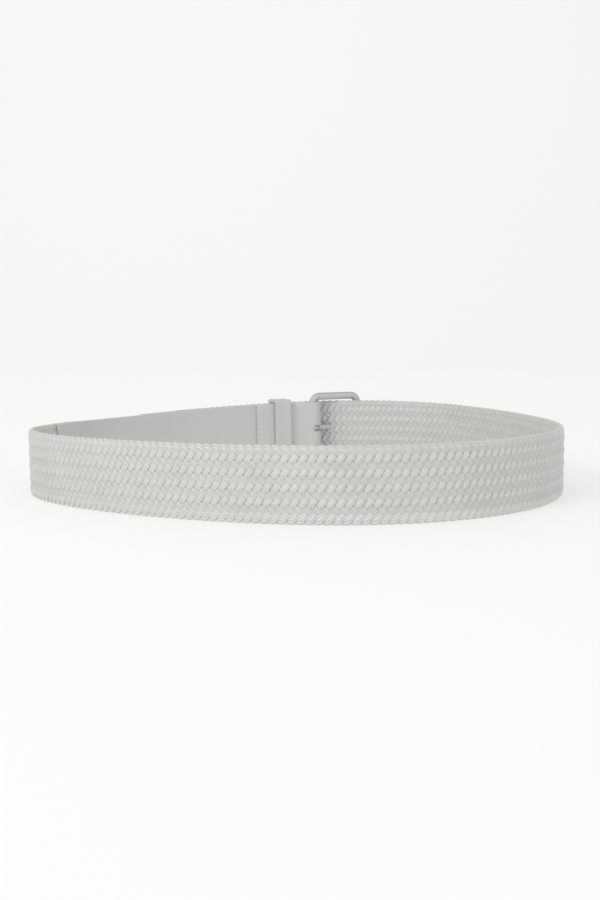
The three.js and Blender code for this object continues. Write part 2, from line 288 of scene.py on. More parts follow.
def in_space(plan, z):
    """Points in space from plan points and heights."""
    z = np.broadcast_to(z, plan.shape[:-1])
    return np.concatenate([plan, z[..., None]], -1)


def unit(vectors):
    """Vectors divided by their lengths."""
    return vectors / np.linalg.norm(vectors, axis=-1, keepdims=True)


# Meshes


def grid_mesh(name, rings, looped=False, holes=None, proud=None):
    """A mesh over rings[strand, ring, point]. Each ring is closed on itself and joined to the next by
    four-sided faces. The end rings are filled, or joined to each other where the strands are looped. The
    faces are turned outwards, by the sum of the volumes between them and their strand's middle.
    The UV map "along" holds metres along the strand, and the share of the way round it.
    holes is a mask of the faces to leave out, and the faces that wall them, both for one strand.
    proud, if given, is kept as an attribute: how far out each point lies, as a share, by which the cord
    material paints shade."""
    strands, count, points = rings.shape[:3]
    i, j = np.meshgrid(np.arange(count if looped else count - 1), np.arange(points), indexing="ij")
    after, beside = (i + 1) % count, (j + 1) % points
    quads = np.stack([i * points + j, after * points + j, after * points + beside, i * points + beside], -1)
    middle = rings.mean(2)
    steps = np.linalg.norm(np.diff(middle, axis=1, append=middle[:, :1]), axis=-1)
    along = np.concatenate([np.zeros((strands, 1)), np.cumsum(steps, 1)], 1)
    u = np.stack([along[:, i], along[:, i + 1], along[:, i + 1], along[:, i]], -1)
    v = np.broadcast_to(np.stack([j, j, j + 1, j + 1], -1) / points, u.shape)
    quads, uv = quads.reshape(-1, 4), np.stack([u, v], -1).reshape(strands, -1, 4, 2)
    faces = [quads]
    if holes is not None:
        kept = ~holes[0].ravel()
        uv = uv[:, kept]
        faces = [quads[kept], holes[1]]
    if not looped:
        ring = np.arange(points)
        faces.append(np.stack([ring, (count - 1) * points + ring[::-1]]))
    first = (np.arange(strands) * count * points)[:, None, None]
    faces = [(part + first).reshape(-1, part.shape[1]) for part in faces]
    loops = np.concatenate([part.ravel() for part in faces])
    totals = np.concatenate([np.full(*part.shape) for part in faces])
    uvs = np.zeros((len(loops), 2))
    uvs[: faces[0].size] = uv.reshape(-1, 2)
    vertices = rings.reshape(-1, 3)
    starts = np.concatenate([[0], np.cumsum(totals)[:-1]])
    from_middle = (rings - rings.mean((1, 2), keepdims=True)).reshape(-1, 3)
    a, b, c = (from_middle[loops[starts + k]] for k in range(3))
    if (a * np.cross(b, c)).sum() < 0:
        order = np.repeat(starts + totals - 1, totals) - (np.arange(len(loops)) - np.repeat(starts, totals))
        loops, uvs = loops[order], uvs[order]
    mesh = bpy.data.meshes.new(name)
    mesh.vertices.add(len(vertices))
    mesh.vertices.foreach_set("co", vertices.astype(np.float32).ravel())
    mesh.loops.add(len(loops))
    mesh.loops.foreach_set("vertex_index", loops.astype(np.int32))
    mesh.polygons.add(len(totals))
    mesh.polygons.foreach_set("loop_start", starts.astype(np.int32))
    mesh.update(calc_edges=True)
    mesh.polygons.foreach_set("use_smooth", np.ones(len(totals), bool))
    layer = mesh.uv_layers.new(name="along")
    layer.data.foreach_set("uv", uvs.astype(np.float32).ravel())
    if proud is not None:
        shares = mesh.attributes.new("proud", "FLOAT", "POINT")
        shares.data.foreach_set("value", proud.astype(np.float32).ravel())
    mesh.update()
    return mesh


def add_piece(name, mesh, material, slot, *nodes):
    """An object for a finished mesh, which rides on the belt's body and stands for CAD nodes."""
    mesh.materials.append(material)
    piece = bpy.data.objects.new(name, mesh)
    bpy.context.scene.collection.objects.link(piece)
    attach(piece, BODY)
    if nodes:
        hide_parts(*nodes)


def ellipse(across, up, points, power):
    """Points round a superellipse with these half widths: sine and cosine, each raised to 2 / power."""
    angle = np.arange(points) * 2 * np.pi / points
    wave = [np.sign(w) * np.abs(w) ** (2 / power) for w in (np.cos(angle), np.sin(angle))]
    return across * wave[0], up * wave[1]


# Braid


def strand_phase(along, strand, pitch):
    """How many rows a strand has gone from its last turn at the lower edge, up to the upper edge and back."""
    return np.mod(2 * (along / pitch - strand), 2 * STRANDS)


def near_turns(phase):
    """Signed rows from the nearest turn, and whether that turn is at the upper edge."""
    from_low = np.where(phase > STRANDS * 1.5, phase - 2 * STRANDS, phase)
    from_high = phase - STRANDS
    upper = np.abs(from_high) < np.abs(from_low)
    return np.where(upper, from_high, from_low), upper


def strand_rows(phase):
    """Height of a strand in rows: a zigzag between the edges whose turns are rounded to parabolas."""
    apart, upper = near_turns(phase)
    near = np.abs(apart)
    rows = np.where(near < TURN_ROUNDING, TURN_ROUNDING / 2 + near**2 / (2 * TURN_ROUNDING), near)
    return np.where(upper, STRANDS - rows, rows)


def strand_depth(phase, lean):
    """Outward wave of a strand, from -1 to 1. It passes over and under at each row, and wraps round the
    edges by half a sine. lean moves rising strands out and falling ones in."""
    apart, upper = near_turns(phase)
    turn = np.sin(np.clip(apart, -1, 1) * np.pi / 2)
    rising = phase < STRANDS
    weave = np.where(rising, 1, -1) * np.cos(np.pi * (np.where(rising, phase, 2 * STRANDS - phase) - 1))
    side = np.where(upper, -turn, turn)
    return np.where(np.abs(apart) < 1, turn, weave) + lean * side


def yarn_section(half_width, half_depth, relief):
    """Points round a strand of yarns side by side: a superellipse with a crease between every two yarns,
    where its depth is less by relief times one less the size of cos(pi / 2 * YARNS * place)."""
    places = np.concatenate([-np.array(YARN_PLACES[::-1]), [0], YARN_PLACES])
    crown = (1 - np.abs(places) ** STRAND_POWER) ** (1 / STRAND_POWER)
    creases = 1 - np.abs(np.cos(np.pi / 2 * YARNS * places))
    depth = half_depth * crown * (1 - relief * creases)
    across = np.concatenate([[-half_width], places * half_width, [half_width], places[::-1] * half_width])
    return across, np.concatenate([[0], depth, [0], -depth[::-1]])


def strand_rings(settings, strands):
    """Rings of these strands, and how far each of their points lies from the strap's middle as a share of
    half its thickness, with a little more at the rims. The cord material paints shade by this share, so the
    cords are darker deep in the braid and painted lighter at the rims. A strand's centre line zigzags up and
    down the strap while it waves through its thickness. It is wider and deeper where it dives than where it
    lies over or under the others, a little wider where it falls, and spread out and flatter where it turns.
    It ends a millimetre short of the solid."""
    pitch = settings.strand_pitch
    step = pitch / 2 / SAMPLES_PER_ROW
    first, last = math.ceil((BRAID_START + MM) / step), math.floor((BRAID_END - MM) / step)
    along = np.arange(first, last + 1) * step
    phase = np.stack([strand_phase(along + settings.weave_start, k, pitch) for k in strands])
    near, upper = near_turns(phase)
    inside = np.abs(near) > 1
    rng = np.random.default_rng(int(strands[0]) + 3)
    drift = []
    for _ in range(2):
        waves = [np.sin(along / wave + rng.uniform(0, 6.28, (len(strands), 1))) for wave in DRIFT_WAVES]
        drift.append(sum(waves))
    along = along + inside * settings.glide * np.sin(2 * np.pi * phase) + DRIFT_ALONG * drift[0]
    turning = 1 - smooth((np.abs(near) - TURN_START) / TURN_REACH)
    depth = settings.wave_height * strand_depth(phase, settings.lean) * (1 - TURN_FLATNESS * turning)
    depth = depth + DRIFT_DEPTH * drift[1]
    height = STRAP_WIDTH / 2 + (strand_rows(phase) - STRANDS / 2) * ROW_HEIGHT
    height = height + TURN_LIFT_BELOW * turning * ~upper
    out = in_space(outwards(along), 0.0)
    centre = in_space(plan_point(along, braid_offset(along) + depth), lift(along) + height)
    forward = unit(np.gradient(centre, axis=1))
    face = unit(out - forward * (out * forward).sum(-1, keepdims=True))
    side = np.cross(forward, face)
    across, up = yarn_section(settings.strand_width / 2, settings.strand_depth / 2, settings.yarn_relief)
    wider = FALLING_WIDER * (phase > STRANDS) - settings.squeeze * np.cos(2 * np.pi * phase)
    spread = settings.spread * turning * np.where(upper, TURN_SPREAD_ABOVE, 1)
    width = (1 + wider * (1 - turning) + spread)[..., None, None]
    diving = np.sin(np.pi * phase) ** 2 * (1 - turning) + turning
    up = up * (1 + settings.swell * diving[..., None])
    rings = centre[:, :, None] + side[:, :, None] * across[:, None] * width + face[:, :, None] * up[..., None]
    # The proud share, with more at the rims, is where the cord material paints shade
    proud = np.abs(depth[..., None] + up) / (BRAID_THICKNESS / 2)
    # Painted light at the rims: the turning cords there get less painted shade
    at_rim = np.where(upper, RIM_LIGHTER_ABOVE, RIM_LIGHTER_BELOW) * (1 - smooth(np.abs(near) / RIM_ROWS))
    return rings, proud + at_rim[..., None]


# Leather


def ply_section(columns):
    """The outline of a ply across its thickness, as the side of its middle, the share of its height and
    the rounding's cosine and sine: the outer face upwards, over the top, and down the inner face."""
    angles = np.pi / 8 * np.arange(1, 4)
    parts = [
        (1, columns, 1, 0),
        (1, 1, np.cos(angles), np.sin(angles)),
        (0, 1, 0, 1),
        (-1, 1, -np.sin(angles), np.cos(angles)),
        (-1, columns[::-1], -1, 0),
        (-1, 0, -np.cos(angles), -np.sin(angles)),
        (0, 0, 0, -1),
        (1, 0, np.sin(angles), -np.cos(angles)),
    ]
    return np.concatenate([np.stack(np.broadcast_arrays(*np.atleast_1d(*part)), 1) for part in parts])


def end_rounding(place, start, end, radius):
    """How much a ply shrinks near its ends, so that they are rounded like its edges."""
    near = np.clip(np.minimum(place - start, end - place), 0, radius)
    return radius - np.sqrt(radius**2 - (radius - near) ** 2)


def ply_places(start, end, radius):
    """Distances along a ply: a step apart, and closer together at its two rounded ends."""
    curve = radius * (1 - np.cos(np.linspace(0, np.pi / 2, 5)))
    middle = np.linspace(start + 2 * radius, end - 2 * radius, math.ceil((end - start) / PLY_STEP))
    return np.concatenate([start + curve, middle, end - curve[::-1]])


def skived(place):
    """Share of its thickness that the leaf lacks at a distance from its end, where it is pared thin."""
    return SKIVE * (1 - smooth(place / SKIVE_LENGTH))


def sleeve_spread(depth):
    """How far each ply stands off the sleeve's middle at a distance in from the sleeve's mouth: by half
    the braid, down to nothing past its end with a smooth step, and pinched on the braid at the mouth."""
    opened = SLEEVE_OPENING * smooth((SLEEVE + SLEEVE_FLARE - depth) / SLEEVE_FLARE)
    return opened - PINCH * smooth((PINCH_LENGTH - depth) / PINCH_LENGTH)


def ply_rings(plan, out, low, high, shrink, columns, rounding, thin=0.0):
    """Rings of one leather ply that follows plan points, between two heights. It is as thick as PLY, less
    a share where it is pared thin, and rounded at its edges by no more than nine tenths of half of that."""
    section = ply_section(columns)
    half = (PLY / 2 - shrink) * (1 - thin)
    corner = np.minimum(rounding, half * 0.9)[:, None]
    low, high = (low + shrink)[:, None] + corner, (high - shrink)[:, None] - corner
    across = section[:, 0] * (half[:, None] - corner) + section[:, 2] * corner
    height = low + section[:, 1] * (high - low) + section[:, 3] * corner
    return in_space(plan[:, None] + out[:, None] * across[..., None], height)[None]


class Route:
    """The line that the leather strap's middle follows: the leaf, the fold round the heel bar and the strap.
    Its points are close together, and places between them are interpolated."""

    def __init__(self):
        leaf_at = np.linspace(LEAF, 0, 60)
        closed = 2 * (FOLD_RADIUS - PLY) - LEAF_GAP
        leaf_out = -2 * FOLD_RADIUS + closed * smooth(leaf_at / LEAF_CLOSING)
        angle = np.linspace(np.pi, 0, 26)[1:-1]
        main_at = np.linspace(0, JUNCTION_AT - HEEL_BAR_AT, 260)
        self.at = HEEL_BAR_AT + np.concatenate([leaf_at, -FOLD_RADIUS * np.sin(angle), main_at])
        offset = np.concatenate([leaf_out, FOLD_RADIUS * (np.cos(angle) - 1), main_at * 0])
        self.plan = plan_point(self.at, offset)
        self.run = np.concatenate([[0], np.cumsum(np.linalg.norm(np.diff(self.plan, axis=0), axis=1))])
        self.fold_run = self.run[len(leaf_at) + len(angle) // 2]
        self.length = self.run[-1]

    def point(self, run):
        """Plan points at distances along the route."""
        return np.stack([np.interp(run, self.run, self.plan[:, k]) for k in (0, 1)], -1)

    def follow(self, run):
        """Plan points, sideways directions and arc lengths at distances along it. On the strap, sideways is
        outwards."""
        step = 0.3 * MM
        before, after = (self.point(np.clip(run + way, 0, self.length)) for way in (-step, step))
        forward = unit(after - before)
        side = np.stack([forward[:, 1], -forward[:, 0]], -1)
        return self.point(run), side, np.interp(run, self.run, self.at)


# Shares of the leather's height: the slot's lower and upper edge, and all that the faces are divided at
SLOT_EDGES = [(STRAP_WIDTH / 2 + hand * SLOT_HEIGHT / 2) / LEATHER_WIDTH for hand in (-1, 1)]
SLOT_COLUMNS = np.sort(np.concatenate([PLY_COLUMNS, SLOT_EDGES]))


def slot_holes(places, start, end):
    """Faces to leave out of a ply for the prong's slot, and the faces that wall it. The slot is between its
    two edges, for the places between start and end. Each wall joins a step along an edge on the one side
    of the ply to the facing step on the other side."""
    section = ply_section(SLOT_COLUMNS)
    low, high = np.searchsorted(SLOT_COLUMNS, SLOT_EDGES)
    facing = np.flatnonzero((section[:, 0] == -1) & (section[:, 2] == -1))[::-1]
    first, last = np.flatnonzero((places > start) & (places < end))[[0, -1]]
    count = len(section)
    mask = np.zeros((len(places) - 1, count), bool)
    mask[first:last, low:high] = True
    mask[first:last, facing[high] : facing[low]] = True
    edge = [(place, low) for place in range(first, last)]
    edge += [(last, column) for column in range(low, high)]
    edge += [(place, high) for place in range(last, first, -1)]
    edge += [(first, column) for column in range(high, low, -1)]
    place, column = np.transpose(edge)
    near, far = place * count + column, place * count + facing[column]
    return mask, np.stack([near, np.roll(near, -1), np.roll(far, -1), far], -1)


def sleeve_rows(mouth, inwards, offset=0.0):
    """Stitch rows on both faces of a sleeve, from its mouth inwards: arc length, offset and facing way."""
    faces = [(offset + hand * (SLEEVE_OPENING + PLY), hand) for hand in (-1, 1)]
    return [(mouth + inwards * row, *face) for row in SLEEVE_ROWS for face in faces]


def stitch_rings(at, offset, facing, settings):
    """Rings of a vertical row of stitches on a face at an arc length. Each stitch is a short thread that is
    bowed by the root of half a sine, so that its middle stands out of the leather and its slim ends don't."""
    pitch = settings.stitch_length + settings.stitch_gap
    count = int((STRAP_WIDTH - 2 * STITCH_MARGIN) / pitch)
    start = lift(at) + (STRAP_WIDTH - count * pitch + settings.stitch_gap) / 2
    t = np.linspace(0, 1, 9)
    height = (start + np.arange(count) * pitch)[:, None] + t * settings.stitch_length
    half = settings.thread_width / 2
    arch = np.sin(np.pi * t)
    bow = half * (STITCH_BOW * arch**0.5 - 1)
    width = half * (STITCH_ENDS + (1 - STITCH_ENDS) * arch**0.4)
    around = np.arange(8) * np.pi / 4
    out = facing * outwards(at)
    along = np.array([-out[1], out[0]])
    circle = out * np.cos(around)[:, None] + along * np.sin(around)[:, None]
    ring = (plan_point(at, offset) + out * bow[:, None])[:, None] + circle * width[:, None, None]
    return in_space(np.broadcast_to(ring, (count, *ring.shape)), height[..., None])


def add_stitches(name, rows, material, settings):
    """A piece of stitch rows, each given by its arc length, its offset and the way that it faces."""
    rings = np.concatenate([stitch_rings(*row, settings) for row in rows])
    add_piece(name, grid_mesh(name, rings), material, "leather")


# Buckle and keeper


def rounded_rectangle(width, height, corner, straight, curved):
    """Points and outward directions round a rectangle with rounded corners, from its right side upwards."""
    x, y = width / 2 - corner, height / 2 - corner
    middles = np.array([(x, y), (-x, y), (-x, -y), (x, -y)])
    part = np.linspace(0, 1, straight + 1)[1:-1, None]
    points, directions = [], []
    for k in range(4):
        angle = np.pi / 2 * (k + np.linspace(0, 1, curved + 1))
        way = np.stack([np.cos(angle), np.sin(angle)], -1)
        side = middles[k] * (1 - part) + middles[(k + 1) % 4] * part + corner * way[-1]
        points += [middles[k] + corner * way, side]
        directions += [way, np.repeat(way[-1:], straight - 1, 0)]
    return np.concatenate(points), np.concatenate(directions)


def band_rings(path, directions, middle, height, along, thickness, width, power, hollow=0.0):
    """Rings of a closed upright band. Its path goes along a level direction and up. Its section is a
    superellipse whose outer face is hollowed by a parabola."""
    radial, sideways = ellipse(thickness / 2, width / 2, points=28, power=power)
    radial = radial - hollow * (radial > 0) * (1 - (2 * sideways / width) ** 2)
    ring = path[:, None] + directions[:, None] * radial[:, None]
    side = np.array([-along[1], along[0]])
    return in_space(middle + ring[..., :1] * along + side * sideways[:, None], height + ring[..., 1])[None]


def prong_rings():
    """Rings of the prong: a loop round the heel bar and a rod to the far bar, on a line near their points
    that is smoothed by a raised cosine, with a superellipse section. It grows slim towards its end, which
    is rounded by a quarter circle."""
    ring = BAR_CLEAR_RADIUS + PRONG_THICKNESS / 2
    rest = BAR_DEPTH / 2 + GAP + PRONG_THICKNESS / 2
    angle = np.radians(HOOK_ANGLES)
    hook = np.stack([ring * np.cos(angle), ring * np.sin(angle)], -1)
    halfway = [BAR_SPACING / 2, (rest + PRONG_RISE) / 2]
    resting = [[BAR_SPACING - PRONG_RESTS_BEFORE, rest], [BAR_SPACING + PRONG_PAST_BAR, rest]]
    points = np.concatenate([hook, PRONG_LEAVES, [halfway], resting])
    run = np.concatenate([[0], np.cumsum(np.linalg.norm(np.diff(points, axis=0), axis=1))])
    fine = np.linspace(0, run[-1], 130)
    kernel = np.hanning(9) / np.hanning(9).sum()
    line = []
    for k in (0, 1):
        value = np.interp(fine, run, points[:, k])
        padded = np.concatenate([2 * value[0] - value[4:0:-1], value, 2 * value[-1] - value[-2:-6:-1]])
        line.append(np.convolve(padded, kernel, "valid"))
    line = np.stack(line, -1)
    forward = unit(np.gradient(line, axis=0))
    normal = np.stack([-forward[:, 1], forward[:, 0]], -1)
    part = fine / run[-1]
    slim = 1 - SLIM_BY * smooth((part - SLIM_FROM) / SLIM_OVER)
    near_end = (np.maximum(part, ROUND_FROM) - ROUND_FROM) / ROUND_OVER
    size = (slim * (ROUND_LEFT + (1 - ROUND_LEFT) * np.sqrt(1 - near_end**2)))[:, None]
    across, up = ellipse(PRONG_THICKNESS / 2, PRONG_HEIGHT / 2, points=20, power=PRONG_POWER)
    flat = line[:, None] + normal[:, None] * (across * size)[..., None]
    height = FRAME_HEIGHT / 2 + up * size
    plan = HEEL_BAR + flat[..., :1] * BUCKLE_ALONG + flat[..., 1:] * BUCKLE_OUT
    return in_space(plan, height)[None]


# Materials


def fill_inputs(tree, node, values):
    """Sets a node's sockets, by name or number: a link where a socket is given, and a value otherwise."""
    for name, value in dict(values).items():
        if isinstance(value, bpy.types.NodeSocket):
            tree.links.new(value, node.inputs[name])
        else:
            node.inputs[name].default_value = value


def add_node(tree, kind, values=(), **options):
    """A node with its options and sockets set."""
    node = tree.nodes.new(kind)
    for name, value in options.items():
        setattr(node, name, value)
    fill_inputs(tree, node, values)
    return node


def maths(tree, operation, *values):
    """The result of a maths node."""
    return add_node(tree, "ShaderNodeMath", dict(enumerate(values)), operation=operation).outputs[0]


def centred(tree, level, middle, amount):
    """A level from nothing to one, as a value that goes by half an amount to either side of a middle."""
    return maths(tree, "MULTIPLY_ADD", level, amount, middle - amount / 2)


def noise(tree, scale, detail):
    """Smooth noise through the object, from nothing to one."""
    place = add_node(tree, "ShaderNodeTexCoord").outputs["Object"]
    values = {"Vector": place, "Scale": scale, "Detail": detail}
    return add_node(tree, "ShaderNodeTexNoise", values).outputs["Fac"]


def new_group(name, inputs, outputs):
    """A shader node group with float or colour inputs and outputs, and its own two end nodes."""
    group = bpy.data.node_groups.new(name, "ShaderNodeTree")
    for label, kind, default in inputs:
        socket = group.interface.new_socket(label, in_out="INPUT", socket_type=kind)
        socket.default_value = default
    for label, kind in outputs:
        group.interface.new_socket(label, in_out="OUTPUT", socket_type=kind)
    return group, group.nodes.new("NodeGroupInput"), group.nodes.new("NodeGroupOutput")


FLOAT, COLOUR = "NodeSocketFloat", "NodeSocketColor"
WHITE = (1, 1, 1, 1)


def mottle_group():
    """Colour that goes a little lighter and darker over the surface, coarse and fine together."""
    inputs = [("Colour", COLOUR, WHITE), ("Patches per metre", FLOAT, 60.0), ("Amount", FLOAT, 0.1)]
    group, start, end = new_group("uneven_colour", inputs, [("Colour", COLOUR)])
    place = add_node(group, "ShaderNodeTexCoord").outputs["Object"]
    values = {"Vector": place, "Scale": start.outputs[1], "Detail": 4.0, "Roughness": 0.6}
    noise = add_node(group, "ShaderNodeTexNoise", values)
    level = maths(group, "SUBTRACT", noise.outputs["Fac"], 0.5)
    value = maths(group, "MULTIPLY_ADD", level, start.outputs[2], 1.0)
    tone = add_node(group, "ShaderNodeHueSaturation", {"Color": start.outputs[0], "Value": value})
    group.links.new(tone.outputs[0], end.inputs[0])
    return group


def ribs_group():
    """Height of the slanting ribs of a twisted or covered thread, from the UV map that runs along it."""
    inputs = [("Ribs per metre", FLOAT, 1500.0), ("Slant", FLOAT, 2.0)]
    group, start, end = new_group("thread_ribs", inputs, [("Height", FLOAT)])
    uv = add_node(group, "ShaderNodeUVMap", uv_map="along").outputs[0]
    parts = add_node(group, "ShaderNodeSeparateXYZ", {0: uv})
    turns = maths(group, "MULTIPLY", parts.outputs[1], start.outputs[1])
    count = maths(group, "MULTIPLY_ADD", parts.outputs[0], start.outputs[0], turns)
    wave = maths(group, "SINE", maths(group, "MULTIPLY", count, 2 * math.pi))
    height = maths(group, "MULTIPLY_ADD", wave, 0.5, 0.5)
    group.links.new(height, end.inputs[0])
    return group


def new_material(name):
    """A material with nodes, its node tree and its main shader."""
    material = bpy.data.materials.new(name)
    material.use_nodes = True
    tree = material.node_tree
    return material, tree, tree.nodes["Principled BSDF"]


def rgba(colour):
    """A colour with full opacity."""
    return (*colour, 1.0)


def ribs(tree, ribs_per_metre, slant):
    """The height of this many ribs per metre, with a slant."""
    group = bpy.data.node_groups.get("thread_ribs") or ribs_group()
    values = {"Ribs per metre": ribs_per_metre, "Slant": slant}
    return add_node(tree, "ShaderNodeGroup", values, node_tree=group).outputs[0]


def mottled(tree, colour, patches_per_metre, amount):
    """A colour that is uneven by an amount, in this many patches per metre."""
    group = bpy.data.node_groups.get("uneven_colour") or mottle_group()
    values = {"Colour": rgba(colour), "Patches per metre": patches_per_metre, "Amount": amount}
    return add_node(tree, "ShaderNodeGroup", values, node_tree=group).outputs[0]


def bump(tree, height, distance):
    """A normal that follows a height, which is a distance at its highest."""
    values = {"Height": height, "Distance": distance, "Strength": 1.0}
    return add_node(tree, "ShaderNodeBump", values).outputs[0]


def cord_material(settings):
    """Waxed cord with a fine slanting rib, uneven along its length, with painted shade between the ribs
    and painted shade where it lies deep in the braid."""
    material, tree, shader = new_material("braid_cord")
    colour = mottled(tree, settings.colour, 55.0, 0.16)
    height = ribs(tree, 1900.0, 2.0)
    proud = add_node(tree, "ShaderNodeAttribute", attribute_name="proud").outputs["Fac"]
    # Painted shade: the proud share maps to a darker colour where the cord lies deep in the braid
    levels = {"Value": proud, "From Min": 0.55, "From Max": 1.0, "To Min": 1 - settings.depth_shade, "To Max": 1.0}
    painted_depth_shade = add_node(tree, "ShaderNodeMapRange", levels, interpolation_type="SMOOTHSTEP").outputs[0]
    # Painted shade in the troughs between the ribs, together with the painted shade deep in the braid,
    # darkens the colour
    value = maths(tree, "MULTIPLY", centred(tree, height, 1.0, 0.1), painted_depth_shade)
    tone = add_node(tree, "ShaderNodeHueSaturation", {"Color": colour, "Value": value})
    finish = {"Roughness": 0.4, "Coat Weight": 0.5, "Coat Roughness": 0.25, "Sheen Weight": 0.1}
    fill_inputs(tree, shader, {**finish, "Sheen Roughness": 0.5})
    fill_inputs(tree, shader, {"Base Color": tone.outputs[0], "Normal": bump(tree, height, 0.04 * MM)})
    return material


def leather_material(settings):
    """Smooth leather: fine pores, a soft uneven sheen and a mottled colour."""
    material, tree, shader = new_material("belt_leather")
    colour = mottled(tree, settings.colour, 35.0, 0.14)
    place = add_node(tree, "ShaderNodeTexCoord").outputs["Object"]
    pores = add_node(tree, "ShaderNodeTexVoronoi", {"Vector": place, "Scale": 1400.0}, feature="SMOOTH_F1")
    creases = noise(tree, 260.0, 5.0)
    height = maths(tree, "MULTIPLY_ADD", pores.outputs["Distance"], 0.5, creases)
    rough = centred(tree, creases, settings.roughness, 0.2)
    relief = bump(tree, height, 0.06 * MM)
    fill_inputs(tree, shader, {"Base Color": colour, "Roughness": rough, "Normal": relief})
    return material


def thread_material(settings):
    """Waxed stitching thread with twisted ribs."""
    material, tree, shader = new_material("stitching_thread")
    colour = mottled(tree, settings.thread_colour, 400.0, 0.15)
    relief = bump(tree, ribs(tree, 2400.0, 1.0), 0.08 * MM)
    fill_inputs(tree, shader, {"Base Color": colour, "Roughness": 0.5, "Normal": relief})
    return material


def metal_material(settings):
    """Plain plated metal with a soft sheen and faint handling marks."""
    material, tree, shader = new_material("satin_plating")
    colour = mottled(tree, settings.colour, 90.0, 0.1)
    marks = noise(tree, 700.0, 3.0)
    rough = centred(tree, marks, settings.roughness, 0.18)
    relief = bump(tree, marks, 0.01 * MM)
    fill_inputs(tree, shader, {"Base Color": colour, "Metallic": 1.0, "Roughness": rough, "Normal": relief})
    return material


def once(name, make, settings):
    """The material of that name, made the first time that it is asked for."""
    return bpy.data.materials.get(name) or make(settings)


# Settings


def number(name, description, default, **options):
    """A setting from nothing upwards."""
    return FloatProperty(name=name, description=description, default=default, min=0.0, **options)


def length(name, description, default):
    """A setting in metres."""
    return number(name, description, default, unit="LENGTH", precision=5)


def watts(name, description, default):
    """A setting for a lamp's power."""
    return number(name, description, default, unit="POWER")


def share(name, description, default):
    """A setting from nothing to one."""
    return number(name, description, default, max=1.0)


def colour_of(name, description, default):
    """A setting for a colour."""
    return FloatVectorProperty(
        name=name, description=description, default=default, subtype="COLOR", size=3, min=0.0, max=1.0
    )


class BeltBraidSettings(bpy.types.PropertyGroup):
    """Sizes and colour of the braid."""

    strand_width: length("Strand width", "Width of one strand", 3.6 * MM)
    strand_depth: length("Strand depth", "Depth of one strand", 1.95 * MM)
    yarn_relief: share("Yarn relief", "Depth of the creases between yarns", 0.36)
    squeeze: share("Squeeze", "How much slimmer a strand is on a face, and wider where it dives", 0.11)
    swell: share("Swell", "How much deeper a strand is where it dives and turns", 0.35)
    spread: share("Spread", "How much wider a strand is where it turns at an edge", 0.3)
    glide: length("Glide", "Sideways wave that lays the strands flatter on both faces", 0.15 * MM)
    strand_pitch: length("Strand pitch", "Distance from a strand to the next", 4.0 * MM)
    wave_height: length("Wave height", "How far a strand waves to either side of the middle", 0.6 * MM)
    lean: share("Lean", "Share by which rising strands stand further out", 0.26)
    weave_start: length("Weave start", "Shift of the pattern along the belt", 0.0)
    # Painted shade: how much the cords' colour is darkened where they lie deep in the braid
    depth_shade: share("Painted shade", "How much darker the cords are deep in the braid", 0.13)
    colour: colour_of("Cord colour", "Colour of the cords", (0.556, 0.562, 0.534))


class BeltLeatherSettings(bpy.types.PropertyGroup):
    """Finish of the leather and its stitching."""

    edge_rounding: length("Edge rounding", "Radius of the leather's cut edges", 0.35 * MM)
    stitch_length: length("Stitch length", "Length of one stitch", 2.6 * MM)
    stitch_gap: length("Stitch gap", "Gap between two stitches", 0.7 * MM)
    thread_width: length("Thread width", "Width of the thread", 0.55 * MM)
    roughness: share("Roughness", "Roughness of the leather", 0.5)
    colour: colour_of("Leather colour", "Colour of the leather", (0.47, 0.47, 0.47))
    thread_colour: colour_of("Thread colour", "Colour of the stitching", (0.58, 0.58, 0.57))


class BeltBuckleSettings(bpy.types.PropertyGroup):
    """Finish of the buckle."""

    roughness: share("Roughness", "Roughness of the metal", 0.6)
    colour: colour_of("Metal colour", "Colour of the frame and prong", (0.52, 0.52, 0.52))


class BeltStageSettings(bpy.types.PropertyGroup):
    """Floor, lights and camera."""

    floor_colour: colour_of("Floor colour", "Colour of the floor and backdrop", (0.42, 0.42, 0.42))
    floor_glow: number("Floor glow", "Strength of the light that the floor gives off", 0.5)
    key_power: watts("Key light", "Power of the light at the upper left", 8.8)
    fill_power: watts("Fill light", "Power of the light in front at the right", 15.5)
    backdrop_power: watts("Backdrop light", "Power of the light on the backdrop", 7.0)
    sky: number("Sky", "Strength of the light from all round", 0.8)
    camera_height: length("Camera height", "Height of the camera above the table", 78.4 * MM)
    camera_distance: length("Camera distance", "Distance of the camera from the loop's middle", 543.6 * MM)


# Operators


